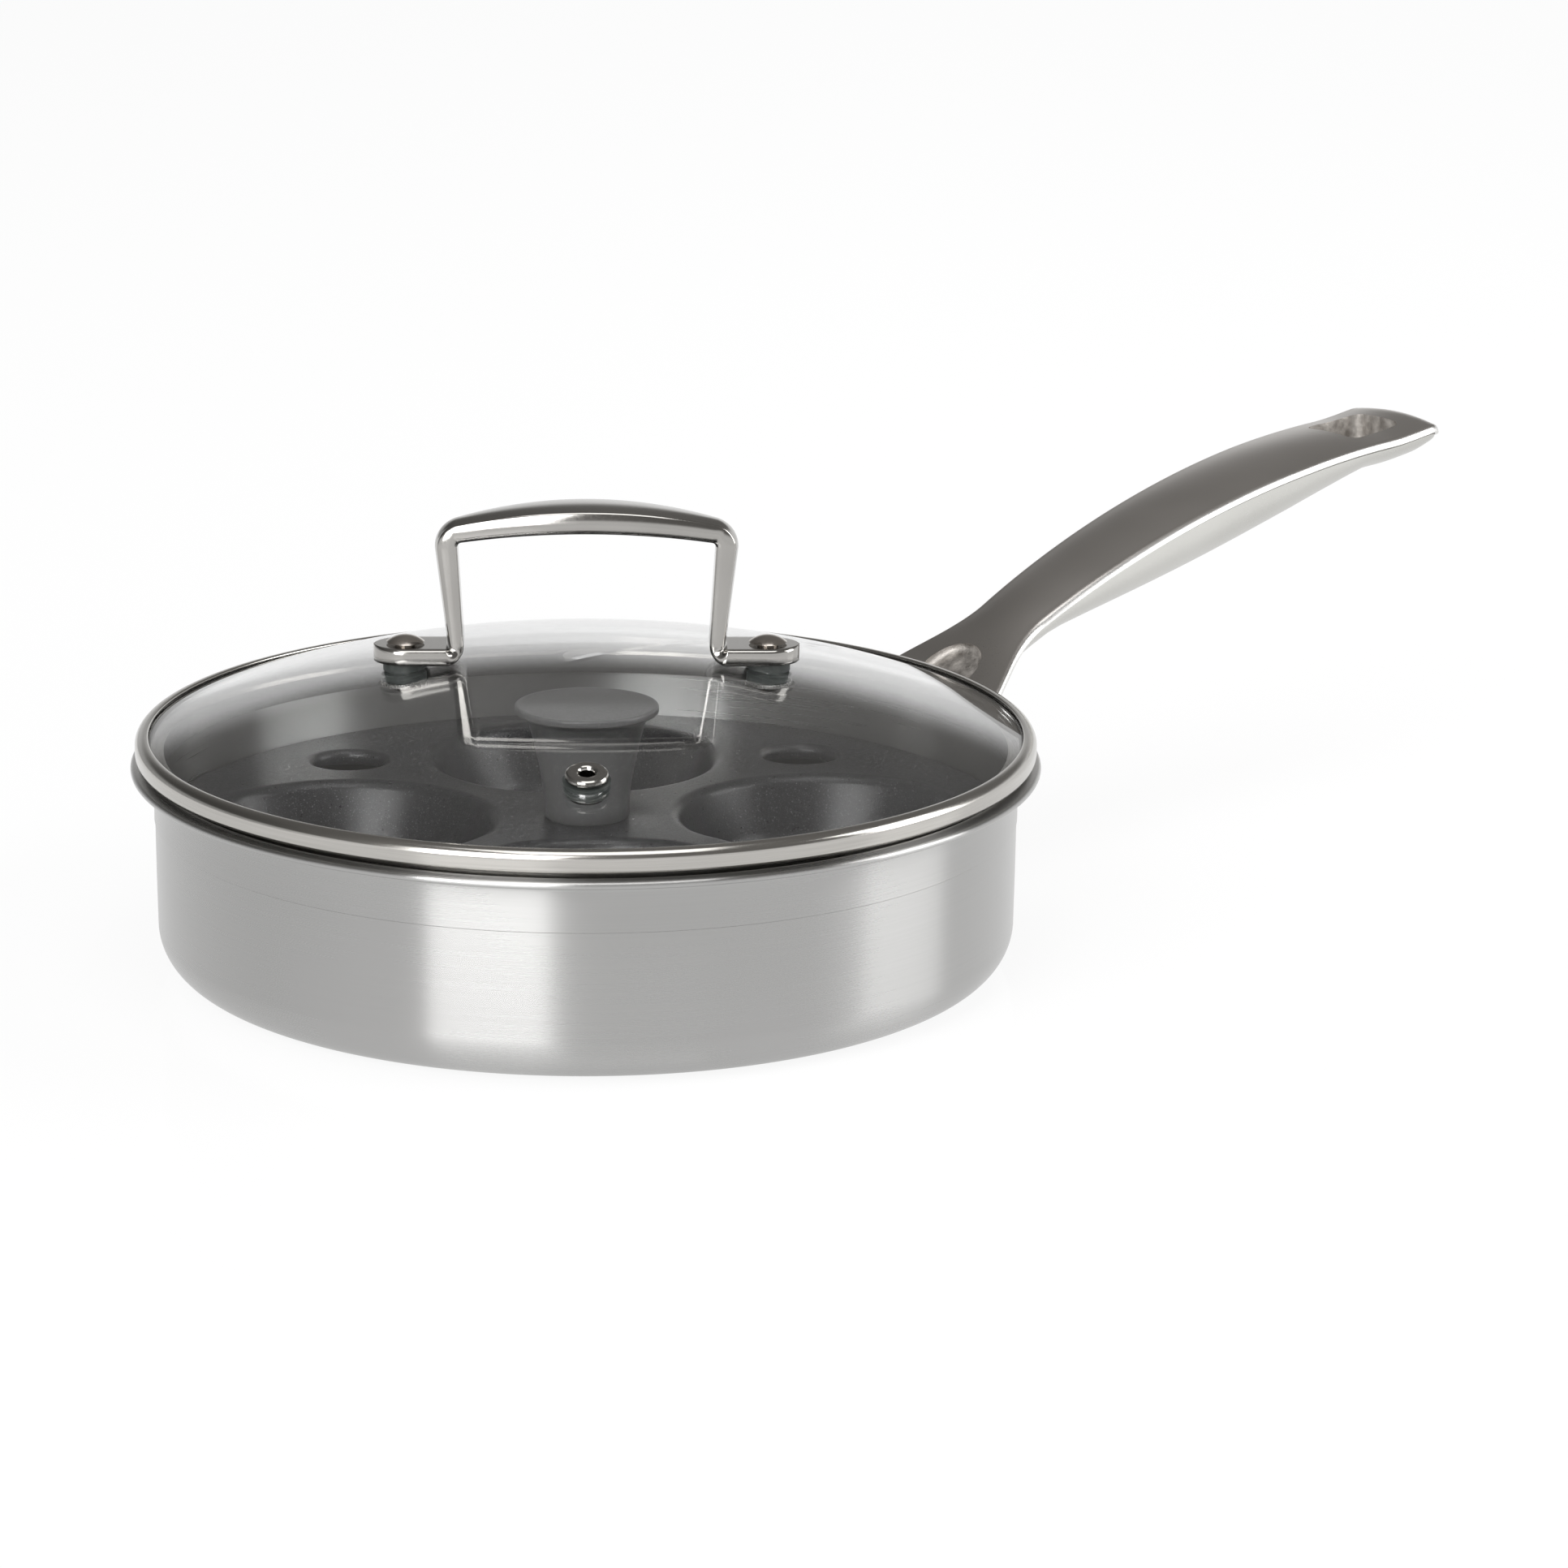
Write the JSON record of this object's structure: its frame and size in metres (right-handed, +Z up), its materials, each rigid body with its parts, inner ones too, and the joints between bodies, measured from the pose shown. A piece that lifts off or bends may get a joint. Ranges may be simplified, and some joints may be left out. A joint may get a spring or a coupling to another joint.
{
  "type": "egg poacher pan",
  "caption": "Shallow steel pan with a long cast handle, a lift-out tray of egg cups with a central knob, and a domed glass lid with a bail handle.",
  "frame": {"origin": "centre of the pan's base on the worktop", "axes": "+Z up, +X from the pan axis along the long handle"},
  "size_m": [0.3906, 0.2152, 0.1109],
  "materials": {
    "pan_steel": "fine brushed all round",
    "handle_steel": "satin cast with polished edge",
    "rivet_steel": "polished",
    "tray_coating": "satin non-stick with fine sparkle",
    "knob_phenolic": "satin gloss",
    "insert_brass": "machined",
    "lid_glass": "clear toughened",
    "band_steel": "polished",
    "bail_steel": "satin polished",
    "silicone": "matt silicone"
  },
  "bodies": {
    "pan": {"pan_body": "pan_steel", "pan_handle": "handle_steel", "handle_rivet_left": "rivet_steel", "handle_rivet_right": "rivet_steel", "handle_rivet_lower": "rivet_steel"},
    "tray": {"egg_tray": "tray_coating", "tray_knob": "knob_phenolic", "knob_insert": "insert_brass", "knob_screw": "rivet_steel", "knob_washer": "rivet_steel"},
    "lid": {"lid_glass": "lid_glass", "lid_band": "band_steel", "lid_handle": "bail_steel", "lid_rivet_left": "rivet_steel", "lid_rivet_right": "rivet_steel", "upper_pad_left": "silicone", "upper_pad_right": "silicone", "lower_pad_left": "silicone", "lower_pad_right": "silicone", "lid_washer_left": "rivet_steel", "lid_washer_right": "rivet_steel", "vent_eyelet": "rivet_steel", "vent_grommet": "silicone"}
  },
  "joints": [
    {"name": "tray_lift", "type": "slide", "parent": "pan", "child": "tray", "axis": [0, 0, 1], "range_m": [0, 0.1]},
    {"name": "lid_lift", "type": "slide", "parent": "tray", "child": "lid", "axis": [0, 0, 1], "range_m": [0, 0.1]}
  ]
}
